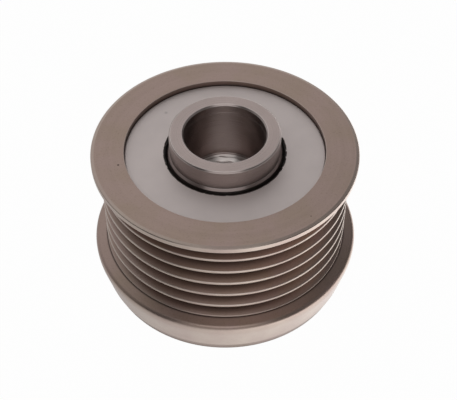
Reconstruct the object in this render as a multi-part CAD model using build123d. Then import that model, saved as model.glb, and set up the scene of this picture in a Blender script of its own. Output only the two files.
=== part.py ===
from build123d import *
import math
import os

# Overrunning alternator pulley for a six-rib belt, in millimetres.
# The axis of rotation is +Z and the origin is on it, in the plane of the front rim.
# The alternator side, with the collar that meets the alternator's bearing, is up.

# Belt profile: rib spacing, groove angle and flats of a PK belt pulley
rib_pitch = 3.56
groove_count = 6
groove_angle = 40.0
crest_flat = 0.49
root_flat = 0.63

# Pulley sleeve: the turned outer body
sleeve_wall = 3.6
front_flange_height = 2.63
front_flange_width = 10.2
front_land_slope = 15.0
front_band_width = 1.5
front_edge_radius = 0.75
front_band_radius = 5.0
skirt_angle = 13.81
rim_bevel_height = 2.2
rim_bevel_angle = 20.1
rear_flange_height = 1.69
rear_flange_width = 1.98
rear_bevel_width = 0.54
rear_bevel_height = 0.11
rear_edge_chamfer = 0.15
rear_lower_chamfer = 0.7
sleeve_bore_chamfer = 0.3
rear_recess_depth = 1.2

# Front opening of the sleeve: seat and snap groove for the dust cap, seal seat and lip
cap_seat_step = 0.8
cap_seat_depth = 3.4
cap_mouth_chamfer = 0.5
cap_groove_depth = 0.4
cap_groove_width = 0.8
cap_groove_height = 1.8
seal_seat_step = 1.8
front_seal_seat_depth = 1.5
front_lip_height = 0.8
front_lip_width = 0.7

# Hub: collar, press seat, head and its stepped bore
shaft_bore_dia = 17.0
collar_wall = 2.97
seat_step = 0.33
collar_height = 5.21
collar_chamfer = 0.28
seat_above_plate = 0.16
seat_lead_length = 0.54
head_step = 1.1
head_chamfer = 0.3
hub_setback = 1.4
shaft_bore_chamfer = 0.3
thread_core_step = 1.31
thread_length = 12.0
relief_step = 0.15
relief_length = 0.8
spline_root_dia = 17.0
spline_depth = 0.6
spline_length = 9.4
spline_teeth = 33
spline_root_share = 0.30
spline_crest_share = 0.22
spline_mouth_chamfer = 0.6

# Seal plates and their rubber lips
plate_thickness = 0.9
plate_edge_radius = 0.3
plate_outer_gap = 0.02
rear_plate_hole_gap = 0.76
front_plate_hole_gap = 0.8
lip_bond_width = 1.5
lip_height = 0.9
lip_thickness = 0.45
lip_running_gap = 0.08

# Support bearings: one row of caged rollers each side of the clutch
bearing_width = 7.0
inner_ring_wall = 1.8
inner_ring_setback = 0.2
cup_wall = 1.35
cup_lip_height = 1.0
cup_lip_width = 0.7
ring_chamfer = 0.3
roller_dia = 4.0
roller_end_gap = 0.2
roller_chamfer = 0.25
roller_count = 12
cage_race_gap = 1.0
cage_lip_gap = 0.2
cage_setback = 0.6
cage_chamfer = 0.15
pocket_play = 0.1

# One-way clutch: eight-sided cam, wedging rollers, cage and leaf springs
clutch_side_count = 8
clutch_race_wall = 1.19
clutch_nip_angle = 7.07
clutch_roller_dia = 4.0
clutch_roller_end_gap = 0.1
clutch_race_gap = 0.015
clutch_cam_gap = 0.02
cam_setback = 0.4
clutch_cage_setback = 0.6
clutch_cage_end = 0.8
clutch_cage_gap = 0.06
clutch_cage_race_gap = 0.25
clutch_bar_gap = 0.3
spring_thickness = 0.15
spring_height = 2.3
spring_setback = 1.0
spring_length = 3.7
spring_fold_count = 4
spring_seat_gap = 0.04

# Fits shared by the pieces
press_gap = 0.01
running_gap = 0.015
row_gap = 0.2
seal_room = 0.9

# Radii, worked out from the shaft bore outwards
shaft_bore_r = shaft_bore_dia / 2
core_r = shaft_bore_r - thread_core_step
spline_root_r = spline_root_dia / 2
spline_crest_r = spline_root_r - spline_depth
collar_r = shaft_bore_r + collar_wall
seat_r = collar_r + seat_step
head_r = seat_r + head_step
pressed_on_r = seat_r + press_gap
inner_race_r = pressed_on_r + inner_ring_wall
bearing_pitch_r = inner_race_r + running_gap + roller_dia / 2
outer_race_r = bearing_pitch_r + roller_dia / 2 + running_gap
pressed_in_r = outer_race_r + cup_wall
sleeve_bore_r = pressed_in_r + press_gap
seal_seat_r = sleeve_bore_r + seal_seat_step
cap_seat_r = seal_seat_r + cap_seat_step
groove_flank = math.tan(math.radians(groove_angle / 2))
groove_depth = (rib_pitch - crest_flat - root_flat) / 2 / groove_flank
root_r = sleeve_bore_r + sleeve_wall
crest_r = root_r + groove_depth
front_flange_r = crest_r + front_flange_height
rear_flange_r = crest_r + rear_flange_height
rear_hole_r = seat_r + rear_plate_hole_gap
front_hole_r = head_r + front_plate_hole_gap

# Heights, all from the front rim
belt_width = groove_count * rib_pitch
sleeve_top = front_flange_width + belt_width + rear_flange_width
plate_top = sleeve_top - rear_recess_depth
rear_seal_seat = plate_top - plate_thickness
front_seal_seat = cap_seat_depth + front_seal_seat_depth
front_lip_top = front_seal_seat + front_lip_width
front_row_bottom = front_lip_top + seal_room
rear_row_bottom = rear_seal_seat - seal_room - bearing_width
clutch_bottom = front_row_bottom + bearing_width + row_gap
clutch_width = rear_row_bottom - row_gap - clutch_bottom
front_row_middle = front_row_bottom + bearing_width / 2
rear_row_middle = rear_row_bottom + bearing_width / 2
clutch_middle = clutch_bottom + clutch_width / 2
spline_top = hub_setback + spline_length
thread_bottom = spline_top + relief_length
thread_top = thread_bottom + thread_length
seat_top = plate_top + seat_above_plate
collar_foot = seat_top + seat_lead_length
hub_top = plate_top + collar_height

# Lengths of what turns between the end faces of each row
inner_ring_width = bearing_width - inner_ring_setback
cage_width = bearing_width - cage_setback
roller_length = bearing_width - 2 * (cup_lip_width + roller_end_gap)
head_top = front_row_middle - inner_ring_width / 2
cam_width = clutch_width - cam_setback
clutch_cage_width = clutch_width - clutch_cage_setback
clutch_roller_length = clutch_cage_width - 2 * (clutch_cage_end + clutch_roller_end_gap)
spring_width = clutch_roller_length - spring_setback

# The wedge of the clutch: a roller stands just short of both its tracks at the angle found here
clutch_race_r = pressed_in_r - clutch_race_wall
clutch_roller_r = clutch_roller_dia / 2
nip = math.radians(clutch_nip_angle)
cam_across_flats = 2 * ((clutch_race_r - clutch_roller_r) * math.cos(nip) - clutch_roller_r)
clutch_orbit_r = clutch_race_r - clutch_race_gap - clutch_roller_r
clutch_rise = cam_across_flats / 2 + clutch_roller_r + clutch_cam_gap
clutch_rest_angle = math.degrees(math.acos(clutch_rise / clutch_orbit_r))
clutch_step = 360 / clutch_side_count


def turned(*corners):
    """A solid of revolution about Z, from corners (radius, height) or (radius, height, rounding)."""
    points = [(corner[0], 0, corner[1]) for corner in corners]
    rounding = [corner[2] if len(corner) > 2 else 0 for corner in corners]
    outline = FilletPolyline(*points, radius=rounding, close=True)
    return revolve(make_face(outline), Axis.Z, 360)


def chamfered_ring(inner_r, outer_r, bottom, width, chamfer):
    """A plain ring with all four of its edges broken."""
    top = bottom + width
    return turned(
        (inner_r, bottom + chamfer),
        (inner_r + chamfer, bottom),
        (outer_r - chamfer, bottom),
        (outer_r, bottom + chamfer),
        (outer_r, top - chamfer),
        (outer_r - chamfer, top),
        (inner_r + chamfer, top),
        (inner_r, top - chamfer),
    )


def around(shape, count):
    """Copies of a shape, evenly spaced about Z from where it stands."""
    return [Rot(0, 0, index * 360 / count) * shape for index in range(count)]


def write(shape, node):
    """Writes one piece to the file that carries its name."""
    export_step(shape, f"parts/{node}.step")


def groove_half_width(radius):
    """Half the width of a belt groove at a radius, on its straight flanks."""
    return (rib_pitch - crest_flat) / 2 - (crest_r - radius) * groove_flank


def pulley_sleeve():
    """The turned sleeve: front skirt, six belt grooves, rear flange, recesses and bore."""
    land_drop = front_flange_height * math.tan(math.radians(front_land_slope))
    land_edge = front_flange_width - land_drop
    band_foot = land_edge - front_band_width
    skirt_height = band_foot - rim_bevel_height
    bevel_r = front_flange_r - skirt_height * math.tan(math.radians(skirt_angle))
    rim_r = bevel_r - rim_bevel_height * math.tan(math.radians(rim_bevel_angle))
    front_side = [
        (cap_seat_r + cap_mouth_chamfer, 0),
        (rim_r, 0),
        (bevel_r, rim_bevel_height),
        (front_flange_r, band_foot, front_band_radius),
        (front_flange_r, land_edge, front_edge_radius),
        (crest_r, front_flange_width),
    ]
    grooves = []
    for index in range(groove_count):
        middle = front_flange_width + (index + 0.5) * rib_pitch
        reach = root_flat / 2
        crest = groove_half_width(crest_r)
        grooves += [(crest_r, middle - crest), (root_r, middle - reach), (root_r, middle + reach)]
        if index < groove_count - 1:
            grooves.append((crest_r, middle + crest))
    last_middle = sleeve_top - rear_flange_width - rib_pitch / 2
    flank_r = rear_flange_r - rear_lower_chamfer
    flange_foot = last_middle + groove_half_width(flank_r)
    edge_top = sleeve_top - rear_bevel_height
    rear_side = [
        (flank_r, flange_foot),
        (rear_flange_r, flange_foot + rear_lower_chamfer),
        (rear_flange_r, edge_top - rear_edge_chamfer),
        (rear_flange_r - rear_edge_chamfer, edge_top),
        (rear_flange_r - rear_edge_chamfer - rear_bevel_width, sleeve_top),
        (seal_seat_r, sleeve_top),
        (seal_seat_r, rear_seal_seat),
        (sleeve_bore_r + sleeve_bore_chamfer, rear_seal_seat),
        (sleeve_bore_r, rear_seal_seat - sleeve_bore_chamfer),
    ]
    inside = [
        (sleeve_bore_r, front_lip_top),
        (sleeve_bore_r - front_lip_height, front_lip_top),
        (sleeve_bore_r - front_lip_height, front_seal_seat),
        (seal_seat_r, front_seal_seat),
        (seal_seat_r, cap_seat_depth),
        (cap_seat_r, cap_seat_depth),
        (cap_seat_r, cap_groove_height + cap_groove_width),
        (cap_seat_r + cap_groove_depth, cap_groove_height + cap_groove_width),
        (cap_seat_r + cap_groove_depth, cap_groove_height),
        (cap_seat_r, cap_groove_height),
        (cap_seat_r, cap_mouth_chamfer),
    ]
    return turned(*front_side, *grooves, *rear_side, *inside)


def spline_outline():
    """The serrated outline of the tool socket: roots and crests joined by straight flanks."""
    step = 360 / spline_teeth
    root_half = step * spline_root_share / 2
    crest_half = step * spline_crest_share / 2
    corners = []
    for tooth in range(spline_teeth):
        centre = tooth * step
        for offset, radius in (
            (-root_half, spline_root_r),
            (root_half, spline_root_r),
            (step / 2 - crest_half, spline_crest_r),
            (step / 2 + crest_half, spline_crest_r),
        ):
            angle = math.radians(centre + offset)
            corners.append((radius * math.cos(angle), radius * math.sin(angle)))
    return make_face(Polyline(*corners, close=True))


def hub():
    """The hub: collar, bearing seat, head, shaft bore, thread core and splined tool socket."""
    relief_r = spline_root_r + relief_step
    mouth_r = spline_root_r + spline_mouth_chamfer
    body = turned(
        (spline_crest_r, hub_setback),
        (head_r - head_chamfer, hub_setback),
        (head_r, hub_setback + head_chamfer),
        (head_r, head_top),
        (seat_r, head_top),
        (seat_r, seat_top),
        (collar_r, collar_foot),
        (collar_r, hub_top - collar_chamfer),
        (collar_r - collar_chamfer, hub_top),
        (shaft_bore_r + shaft_bore_chamfer, hub_top),
        (shaft_bore_r, hub_top - shaft_bore_chamfer),
        (shaft_bore_r, thread_top),
        (core_r, thread_top),
        (core_r, thread_bottom),
        (relief_r, thread_bottom),
        (relief_r, spline_top),
        (spline_crest_r, spline_top),
    )
    socket = Pos(0, 0, hub_setback) * extrude(spline_outline(), amount=spline_length)
    mouth = turned(
        (0, hub_setback),
        (mouth_r, hub_setback),
        (mouth_r - spline_mouth_chamfer * 2, hub_setback + spline_mouth_chamfer * 2),
        (0, hub_setback + spline_mouth_chamfer * 2),
    )
    return body - socket - mouth


def seal_plate(hole_r, bottom, rounded_side):
    """A pressed seal plate, with the edge on its open side rounded."""
    outer_r = seal_seat_r - plate_outer_gap
    top = bottom + plate_thickness
    upper = plate_edge_radius if rounded_side == "top" else 0
    lower = plate_edge_radius if rounded_side == "bottom" else 0
    return turned((hole_r, bottom), (outer_r, bottom, lower), (outer_r, top, upper), (hole_r, top))


def seal_lip(hole_r, runs_on_r, foot, direction):
    """A rubber lip bonded under a plate, reaching in to the shaft: direction is the way it hangs."""
    inner_r = runs_on_r + lip_running_gap
    bond_r = hole_r + lip_thickness / 2
    outer_r = bond_r + lip_bond_width
    knee = foot + direction * lip_thickness
    tip = foot + direction * lip_height
    return turned(
        (bond_r, foot),
        (outer_r, foot),
        (outer_r, knee),
        (bond_r + lip_thickness, knee),
        (inner_r + lip_thickness, tip),
        (inner_r, tip - direction * lip_thickness),
    )


def bearing_inner_ring(middle):
    """The race that is pressed on the hub."""
    bottom = middle - inner_ring_width / 2
    return chamfered_ring(pressed_on_r, inner_race_r, bottom, inner_ring_width, ring_chamfer)


def bearing_outer_ring(middle):
    """The drawn cup that is pressed into the sleeve, with a lip at each end."""
    bottom = middle - bearing_width / 2
    top = middle + bearing_width / 2
    lip_r = outer_race_r - cup_lip_height
    return turned(
        (lip_r, bottom),
        (pressed_in_r - ring_chamfer, bottom),
        (pressed_in_r, bottom + ring_chamfer),
        (pressed_in_r, top - ring_chamfer),
        (pressed_in_r - ring_chamfer, top),
        (lip_r, top),
        (lip_r, top - cup_lip_width),
        (outer_race_r, top - cup_lip_width),
        (outer_race_r, bottom + cup_lip_width),
        (lip_r, bottom + cup_lip_width),
    )


def bearing_cage(middle):
    """The cage of a support bearing: a band with one window for each roller."""
    inner_r = inner_race_r + cage_race_gap
    outer_r = outer_race_r - cup_lip_height - cage_lip_gap
    band = chamfered_ring(inner_r, outer_r, middle - cage_width / 2, cage_width, cage_chamfer)
    window = Pos(bearing_pitch_r, 0, middle) * Box(
        roller_dia * 2, roller_dia + pocket_play, roller_length + pocket_play
    )
    return band - around(window, roller_count)


def plain_roller(dia, length, orbit_r, angle, middle):
    """One roller with broken edges, its own axis parallel to Z."""
    radius = dia / 2
    half = length / 2
    pin = turned(
        (0, -half),
        (radius - roller_chamfer, -half),
        (radius, roller_chamfer - half),
        (radius, half - roller_chamfer),
        (radius - roller_chamfer, half),
        (0, half),
    )
    return Rot(0, 0, angle) * Pos(orbit_r, 0, middle) * pin


def clutch_octagon(across_flats, width):
    """The eight-sided prism of the cam, with the middle of one flat on +X."""
    face = RegularPolygon(across_flats / 2, clutch_side_count, major_radius=False, rotation=clutch_step / 2)
    return Pos(0, 0, clutch_middle - width / 2) * extrude(face, amount=width)


def clutch_cam():
    """The cam that is pressed on the hub: the rollers wedge between its flats and the race."""
    return clutch_octagon(cam_across_flats, cam_width) - Pos(0, 0, clutch_middle) * Cylinder(
        pressed_on_r, cam_width * 2
    )


def clutch_outer_race():
    """The smooth race that is pressed into the sleeve."""
    return chamfered_ring(clutch_race_r, pressed_in_r, clutch_bottom, clutch_width, ring_chamfer)


def clutch_pocket():
    """The space of one roller and its spring, as the low and high end along the flat on +X."""
    roller_y = clutch_orbit_r * math.sin(math.radians(clutch_rest_angle))
    roller_back = roller_y - clutch_roller_r
    low = roller_back - spring_seat_gap * 2 - spring_length
    high = roller_y + clutch_roller_r + clutch_bar_gap
    return low, high


def clutch_cage():
    """The cage, held by the corners of the cam, with a pocket for each roller and its spring."""
    low, high = clutch_pocket()
    bottom = clutch_middle - clutch_cage_width / 2
    inner_r = cam_across_flats / 2 + clutch_cage_gap
    outer_r = clutch_race_r - clutch_cage_race_gap
    band = chamfered_ring(inner_r, outer_r, bottom, clutch_cage_width, cage_chamfer)
    seat = clutch_octagon(cam_across_flats + clutch_cage_gap * 2, clutch_cage_width * 2)
    pocket = Pos(clutch_orbit_r, (low + high) / 2, clutch_middle) * Box(
        clutch_roller_dia * 2, high - low, clutch_cage_width - clutch_cage_end * 2
    )
    return band - seat - around(pocket, clutch_side_count)


def clutch_spring():
    """One folded leaf spring, between the end of its pocket and the back of the roller on +X."""
    low, high = clutch_pocket()
    start = low + spring_seat_gap + spring_thickness / 2
    end = low + spring_seat_gap + spring_length - spring_thickness / 2
    inner_r = clutch_orbit_r - spring_height / 2
    outer_r = clutch_orbit_r + spring_height / 2
    step = (end - start) / spring_fold_count
    path = [(inner_r, start), (outer_r, start)]
    for fold in range(1, spring_fold_count):
        path.append((inner_r if fold % 2 else outer_r, start + fold * step))
    path += [(inner_r, end), (outer_r, end)]
    bends = [spring_thickness] * (len(path) - 2)
    strip = trace(FilletPolyline(*path, radius=bends), spring_thickness)
    return Pos(0, 0, clutch_middle - spring_width / 2) * extrude(strip, amount=spring_width)


os.makedirs("parts", exist_ok=True)

# Turned body and hub
write(pulley_sleeve(), "pulley_sleeve")
write(hub(), "hub")

# Seals at both ends of the sleeve
write(seal_plate(rear_hole_r, rear_seal_seat, "top"), "rear_seal_plate")
write(seal_plate(front_hole_r, front_seal_seat - plate_thickness, "bottom"), "front_seal_plate")
write(seal_lip(rear_hole_r, seat_r, rear_seal_seat, -1), "rear_seal_lip")
write(seal_lip(front_hole_r, head_r, front_seal_seat, 1), "front_seal_lip")

# Support bearings
for row, row_middle in (("rear", rear_row_middle), ("front", front_row_middle)):
    write(bearing_inner_ring(row_middle), f"{row}_bearing_inner_ring")
    write(bearing_outer_ring(row_middle), f"{row}_bearing_outer_ring")
    write(bearing_cage(row_middle), f"{row}_bearing_cage")
    first_roller = plain_roller(roller_dia, roller_length, bearing_pitch_r, 0, row_middle)
    for number, roller in enumerate(around(first_roller, roller_count), start=1):
        write(roller, f"{row}_bearing_roller_{number:02d}")

# One-way clutch
write(clutch_cam(), "clutch_cam")
write(clutch_outer_race(), "clutch_outer_race")
write(clutch_cage(), "clutch_cage")
wedge_roller = plain_roller(
    clutch_roller_dia, clutch_roller_length, clutch_orbit_r, clutch_rest_angle, clutch_middle
)
for number, roller in enumerate(around(wedge_roller, clutch_side_count), start=1):
    write(roller, f"clutch_roller_{number}")
for number, spring in enumerate(around(clutch_spring(), clutch_side_count), start=1):
    write(spring, f"clutch_spring_{number}")
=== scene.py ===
import logging
import math
from dataclasses import dataclass
from enum import Enum

import bpy
import numpy as np
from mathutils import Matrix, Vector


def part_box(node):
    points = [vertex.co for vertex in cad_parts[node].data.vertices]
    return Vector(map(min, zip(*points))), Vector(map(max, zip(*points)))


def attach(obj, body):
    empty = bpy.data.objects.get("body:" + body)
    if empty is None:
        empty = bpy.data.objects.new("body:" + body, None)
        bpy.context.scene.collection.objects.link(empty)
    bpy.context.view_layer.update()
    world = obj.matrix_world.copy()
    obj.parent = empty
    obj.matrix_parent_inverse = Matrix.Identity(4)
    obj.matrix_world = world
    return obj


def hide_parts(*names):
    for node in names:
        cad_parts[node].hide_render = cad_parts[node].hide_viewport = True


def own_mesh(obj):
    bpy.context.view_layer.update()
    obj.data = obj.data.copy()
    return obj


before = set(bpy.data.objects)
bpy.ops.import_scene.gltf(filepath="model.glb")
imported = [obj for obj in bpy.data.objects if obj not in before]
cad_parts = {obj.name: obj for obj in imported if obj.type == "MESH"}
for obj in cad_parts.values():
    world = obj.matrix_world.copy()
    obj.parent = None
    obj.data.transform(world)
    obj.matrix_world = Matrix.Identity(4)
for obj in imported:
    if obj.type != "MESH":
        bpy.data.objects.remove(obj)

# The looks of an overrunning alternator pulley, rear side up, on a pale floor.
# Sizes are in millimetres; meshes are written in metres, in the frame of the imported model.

log = logging.getLogger("pulley")

MM = 0.001
TURN = 2 * math.pi
# Faces that meet at more than this angle keep a sharp edge.
SMOOTH_LIMIT = math.radians(34)
# Two radii that differ by less than this count as one.
SAME_PLACE = 0.01


class Body(Enum):
    """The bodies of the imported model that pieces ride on."""

    HUB = "hub"
    PULLEY = "pulley"


class Slot(Enum):
    """The material slots of the record; a new piece carries one, and its finish comes from the material it is
    given.
    """

    SLEEVE = "turned_steel"
    HUB = "hub_steel"
    PLATE = "plate_steel"
    SEAL = "seal_rubber"
    SPRING = "spring_steel"


class Side(Enum):
    """The two ends of the pulley, as used in the names of its pieces."""

    REAR = "rear"
    FRONT = "front"


# The meshes


def rounded_profile(
    corners: list[tuple[float, ...]], closed: bool, steps: int = 4, guard: float = 0.04
) -> np.ndarray:
    """Rounds the corners of an outline with arcs.

    Each corner (radius, height, fillet, tone) gets an arc of its fillet that touches both its sides,
    in equal steps of angle, with one more point a short guard beyond each end, so that smooth
    shading stays inside the arc. A corner with no fillet stays one point. A tone over 0, of a worn
    edge with a painted highlight, stays inside the arc, and one under 0, of a hollow (painted shade
    on the sleeve, the reach of the rubber smear on a plate), runs on to the next corners.

    Args:
        corners: Rows of radius, height, fillet radius and tone, in millimetres.
        closed: Whether the last corner joins the first.
        steps: Number of chords in each arc.
        guard: Distance of the guard points from the arc, in millimetres.

    Returns:
        Rows of radius, height and tone along the outline.
    """
    table = np.array(corners, dtype=float)
    point, fillet, tone = table[:, :2], table[:, 2].copy(), table[:, 3]
    if not closed:
        fillet[[0, -1]] = 0
    back = np.roll(point, 1, axis=0) - point
    ahead = np.roll(point, -1, axis=0) - point
    back_length = np.maximum(np.linalg.norm(back, axis=1, keepdims=True), 1e-9)
    ahead_length = np.maximum(np.linalg.norm(ahead, axis=1, keepdims=True), 1e-9)
    back, ahead = back / back_length, ahead / ahead_length
    half = np.arccos(np.clip((back * ahead).sum(axis=1), -1, 1)) / 2
    half = np.where(fillet > 0, np.maximum(half, 1e-3), math.pi / 4)
    reach = (fillet / np.tan(half))[:, None]
    middle = back + ahead
    middle /= np.maximum(np.linalg.norm(middle, axis=1, keepdims=True), 1e-9)
    centre = point + middle * (fillet / np.sin(half))[:, None]
    first = point + back * reach - centre
    last = point + ahead * reach - centre
    start = np.arctan2(first[:, 1], first[:, 0])
    sweep = np.arctan2(last[:, 1], last[:, 0]) - start
    sweep = (sweep + math.pi) % TURN - math.pi
    angle = start[:, None] + sweep[:, None] * np.linspace(0, 1, steps + 1)
    arc = centre[:, None] + fillet[:, None, None] * np.stack([np.cos(angle), np.sin(angle)], axis=-1)
    before = point + back * (reach + guard)
    after = point + ahead * (reach + guard)
    rows = np.concatenate([before[:, None], arc, after[:, None]], axis=1)
    tones = np.tile(np.minimum(tone, 0)[:, None], rows.shape[1])
    tones[:, 1:-1] = tone[:, None]
    kept = np.ones(rows.shape[:2], dtype=bool)
    plain = fillet <= 0
    rows[plain, 0] = point[plain]
    kept[plain, 1:] = False
    return np.column_stack([rows[kept], tones[kept]])


def turned_surface(radius: np.ndarray, height: np.ndarray, angle: np.ndarray) -> np.ndarray:
    """Points of a surface about Z: x and y are the radius times the cosine and sine of the angle.

    Args:
        radius: One radius for each row, or for each row and column, in millimetres.
        height: One height for each row, or for each row and column, in millimetres.
        angle: One angle for each column, in radians.

    Returns:
        Array of rows, columns and coordinates, in metres.
    """
    shape = (len(radius), len(angle))
    radius = np.broadcast_to(radius if radius.ndim == 2 else radius[:, None], shape)
    height = np.broadcast_to(height if height.ndim == 2 else height[:, None], shape)
    return np.stack([radius * np.cos(angle), radius * np.sin(angle), height], axis=-1) * MM


def grid_faces(rows: int, columns: int, wrap_rows: bool) -> np.ndarray:
    """Four-sided faces between neighbouring points of a grid that closes on itself across its columns.

    Args:
        rows: Number of rows of points.
        columns: Number of points in each row.
        wrap_rows: Whether the last row joins the first.

    Returns:
        Array with the four point numbers of each face.
    """
    row = np.arange(rows if wrap_rows else rows - 1)[:, None]
    column = np.arange(columns)[None, :]
    row_after = (row + 1) % rows
    column_after = (column + 1) % columns
    corners = [
        row * columns + column,
        row * columns + column_after,
        row_after * columns + column_after,
        row_after * columns + column,
    ]
    return np.stack([np.broadcast_to(c, (len(row), columns)) for c in corners], axis=-1).reshape(-1, 4)


def enclosed_volume(points: np.ndarray, faces: np.ndarray) -> float:
    """Volume inside a closed mesh: a sixth of the sum of the triple products of its triangles."""
    a, b, c, d = (points[faces[:, k]] for k in range(4))
    halves = np.einsum("ij,ij->i", a, np.cross(b, c)) + np.einsum("ij,ij->i", a, np.cross(c, d))
    return float(halves.sum() / 6)


def add_object(name: str, data: bpy.types.ID) -> bpy.types.Object:
    """Makes an object of a mesh, lamp or camera and links it to the scene.

    Args:
        name: Name of the object.
        data: What it shows.

    Returns:
        The new object.
    """
    made = bpy.data.objects.new(name, data)
    bpy.context.scene.collection.objects.link(made)
    return made


@dataclass(frozen=True)
class Piece:
    """How a new piece is called, what it rides on, which node it stands for and its finish."""

    name: str
    body: Body
    slot: Slot
    replaces: str
    material: bpy.types.Material

    def make(
        self, points: np.ndarray, faces: np.ndarray, tones: np.ndarray | None = None
    ) -> bpy.types.Object:
        """Makes the mesh object with outward faces and places it in the frame.

        Args:
            points: Coordinates of the points, in metres.
            faces: Point numbers of the four-sided faces of a closed mesh.
            tones: A value for each point that the finish reads as "tone".

        Returns:
            The new object.
        """
        points = points.reshape(-1, 3)
        if enclosed_volume(points, faces) < 0:
            faces = faces[:, ::-1]
        mesh = bpy.data.meshes.new(self.name)
        mesh.vertices.add(len(points))
        mesh.vertices.foreach_set("co", points.astype(np.float32).ravel())
        mesh.loops.add(faces.size)
        mesh.loops.foreach_set("vertex_index", faces.astype(np.int32).ravel())
        mesh.polygons.add(len(faces))
        mesh.polygons.foreach_set("loop_start", np.arange(0, faces.size, 4, dtype=np.int32))
        mesh.update(calc_edges=True)
        mesh.shade_smooth()
        mesh.set_sharp_from_angle(angle=SMOOTH_LIMIT)
        if tones is not None:
            attribute = mesh.attributes.new("tone", "FLOAT", "POINT")
            attribute.data.foreach_set("value", tones.astype(np.float32).ravel())
        mesh.materials.append(self.material)
        piece = add_object(self.name, mesh)
        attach(piece, self.body.value)
        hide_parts(self.replaces)
        log.info("%s: %d faces", self.name, len(faces))
        return piece


# The finishes


def linear(colour: str) -> tuple[float, float, float, float]:
    """Turns an sRGB hex colour into the linear values that a shader takes."""
    parts = np.array([int(colour[k:k + 2], 16) for k in (1, 3, 5)]) / 255
    values = np.where(parts <= 0.04045, parts / 12.92, ((parts + 0.055) / 1.055) ** 2.4)
    return (*(float(v) for v in values), 1.0)


def add_node(
    tree: bpy.types.NodeTree, kind: str, inputs: dict | None = None, **settings: object
) -> bpy.types.Node:
    """Adds one node with its settings, values and links.

    Args:
        tree: The node tree.
        kind: Blender's name for the node type.
        inputs: A value or another node's output socket for each input, by name or number.
        **settings: Properties of the node.

    Returns:
        The new node.
    """
    node = tree.nodes.new(kind)
    for name, value in settings.items():
        setattr(node, name, value)
    for key, value in (inputs or {}).items():
        if isinstance(value, bpy.types.NodeSocket):
            tree.links.new(value, node.inputs[key])
        else:
            node.inputs[key].default_value = value
    return node


def empty_tree(owner: bpy.types.Material | bpy.types.World) -> bpy.types.NodeTree:
    """Turns on the nodes of a material or world and removes those it starts with.

    Args:
        owner: The material or world.

    Returns:
        Its node tree.
    """
    owner.use_nodes = True
    owner.node_tree.nodes.clear()
    return owner.node_tree


def per_metre(size_mm: float) -> float:
    """Scale of a noise whose grains are about this size."""
    return 1 / (size_mm * MM)


@dataclass(frozen=True)
class Finish:
    """A finish: its name, colour and gloss, and the pattern that a kind of surface adds."""

    name: str
    colour: str
    roughness: float
    metallic: float = 0.0
    drawn_out: float = 0.0

    def material(self) -> bpy.types.Material:
        """Makes the material; a drawn-out gloss lies a quarter turn from the axis, so round it."""
        material = bpy.data.materials.new(self.name)
        tree = empty_tree(material)
        shader = add_node(tree, "ShaderNodeBsdfPrincipled", {
            "Base Color": linear(self.colour), "Roughness": self.roughness, "Metallic": self.metallic,
            "Anisotropic": self.drawn_out, "Anisotropic Rotation": 0.25,
        })
        if self.drawn_out:
            marks = add_node(tree, "ShaderNodeTangent", direction_type="RADIAL", axis="Z")
            tree.links.new(marks.outputs[0], shader.inputs["Tangent"])
        add_node(tree, "ShaderNodeOutputMaterial", {"Surface": shader.outputs[0]})
        self.pattern(tree, shader)
        return material

    def pattern(self, tree: bpy.types.NodeTree, shader: bpy.types.Node) -> None:
        """Adds what varies over the surface; each kind of finish has its own."""
        raise NotImplementedError

    def varied_colour(
        self, tree: bpy.types.NodeTree, shader: bpy.types.Node, amount: bpy.types.NodeSocket, other: str
    ) -> None:
        """Mixes another colour into the shader's base colour.

        Args:
            tree: The material's node tree.
            shader: The shader whose base colour varies.
            amount: How much of the other colour shows, from 0 to 1.
            other: The other colour.
        """
        base = shader.inputs["Base Color"]
        start = base.links[0].from_socket if base.is_linked else tuple(base.default_value)
        mix = add_node(tree, "ShaderNodeMix", {0: amount, 6: start, 7: linear(other)}, data_type="RGBA")
        tree.links.new(mix.outputs[2], base)

    def mottle(
        self, tree: bpy.types.NodeTree, shader: bpy.types.Node, place: bpy.types.NodeSocket, size: float,
        colour: str, strength: float, span: tuple[float, float], detail: float, roughness: float,
    ) -> bpy.types.NodeSocket:
        """Adds patches of another colour where a noise is high.

        Args:
            tree: The material's node tree.
            shader: The shader whose base colour varies.
            place: The object coordinates.
            size: Width of the patches, in millimetres.
            colour: Colour of the patches.
            strength: How much of the colour shows at most, from 0 to 1.
            span: Values of the noise at which the colour starts to show and shows most.
            detail: Number of finer noises in the noise.
            roughness: Share of each finer noise.

        Returns:
            The noise.
        """
        noise = add_node(tree, "ShaderNodeTexNoise", {
            "Vector": place, "Scale": per_metre(size), "Detail": detail, "Roughness": roughness,
        })
        share = add_node(tree, "ShaderNodeMapRange", {
            "Value": noise.outputs[0], "From Min": span[0], "From Max": span[1],
            "To Min": 0.0, "To Max": strength,
        })
        self.varied_colour(tree, shader, share.outputs[0], colour)
        return noise.outputs[0]

    def add_spots(
        self, tree: bpy.types.NodeTree, shader: bpy.types.Node, place: bpy.types.NodeSocket,
        spots: tuple[tuple[float, float, float, float], ...], colour: str, strength: float, core: float,
    ) -> None:
        """Adds round spots of another colour that fade towards their edge.

        Args:
            tree: The material's node tree.
            shader: The shader whose base colour varies.
            place: The object coordinates.
            spots: The middle and the radius of each spot, in millimetres.
            colour: Colour of the spots.
            strength: How much of the colour shows in the middle, from 0 to 1.
            core: Share of the radius that has the full strength.
        """
        for x, y, z, size in spots:
            away = add_node(tree, "ShaderNodeVectorMath", {
                0: place, 1: (x * MM, y * MM, z * MM),
            }, operation="DISTANCE")
            spot = add_node(tree, "ShaderNodeMapRange", {
                "Value": away.outputs["Value"], "From Min": size * MM * core, "From Max": size * MM,
                "To Min": strength, "To Max": 0.0,
            })
            self.varied_colour(tree, shader, spot.outputs[0], colour)


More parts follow.
